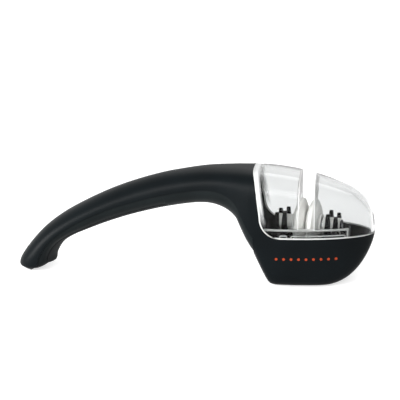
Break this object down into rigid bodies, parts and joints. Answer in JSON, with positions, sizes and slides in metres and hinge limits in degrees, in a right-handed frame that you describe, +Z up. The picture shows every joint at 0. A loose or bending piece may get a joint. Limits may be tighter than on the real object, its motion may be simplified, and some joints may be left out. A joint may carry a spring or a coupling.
{
  "type": "pull-through knife sharpener",
  "caption": "Hand-held pull-through knife sharpener: black arched handle, head with a clear slotted hood, bevelled ceramic wheels that spin on a skewed axle to form a V",
  "frame": {"origin": "Middle of the head's resting face, on the surface that the sharpener stands on", "axes": "+X runs from the tail of the handle to the nose of the head, +Y is across the head along the knife's pull, +Z is up"},
  "size_m": [0.2028, 0.044, 0.0644],
  "materials": {
    "body_black": "soft-touch satin",
    "under_black": "satin",
    "grip_black": "matt",
    "clear_plastic": "clear, polished",
    "cradle_black": "gloss",
    "white_ceramic": "fine matt",
    "white_plastic": "satin",
    "steel": "bright",
    "pad_rubber": "matt, ribbed"
  },
  "bodies": {
    "sharpener": {"handle_body": "body_black", "underside_cover": "under_black", "finger_grip": "grip_black", "clear_cover": "clear_plastic", "near_latch_strip": "clear_plastic", "far_latch_strip": "clear_plastic", "wheel_cradle": "cradle_black", "axle": "steel", "left_bush": "white_plastic", "right_bush": "white_plastic", "centre_washer": "steel", "left_thrust_washer": "steel", "right_thrust_washer": "steel", "axle_clips": "steel", "cradle_screws": "steel", "underside_screws": "steel", "sole_pad": "pad_rubber"},
    "left_roller": {"left_wheel": "white_ceramic", "left_hub": "white_plastic"},
    "right_roller": {"right_wheel": "white_ceramic", "right_hub": "white_plastic"}
  },
  "joints": [
    {"name": "left_wheel_spin", "type": "hinge", "parent": "sharpener", "child": "left_roller", "pos_m": [0.0004, 0, 0.0326], "axis": [0.9851, -0.1719, 0], "continuous": true},
    {"name": "right_wheel_spin", "type": "hinge", "parent": "sharpener", "child": "right_roller", "pos_m": [0.0004, 0, 0.0326], "axis": [0.9851, -0.1719, 0], "continuous": true}
  ]
}
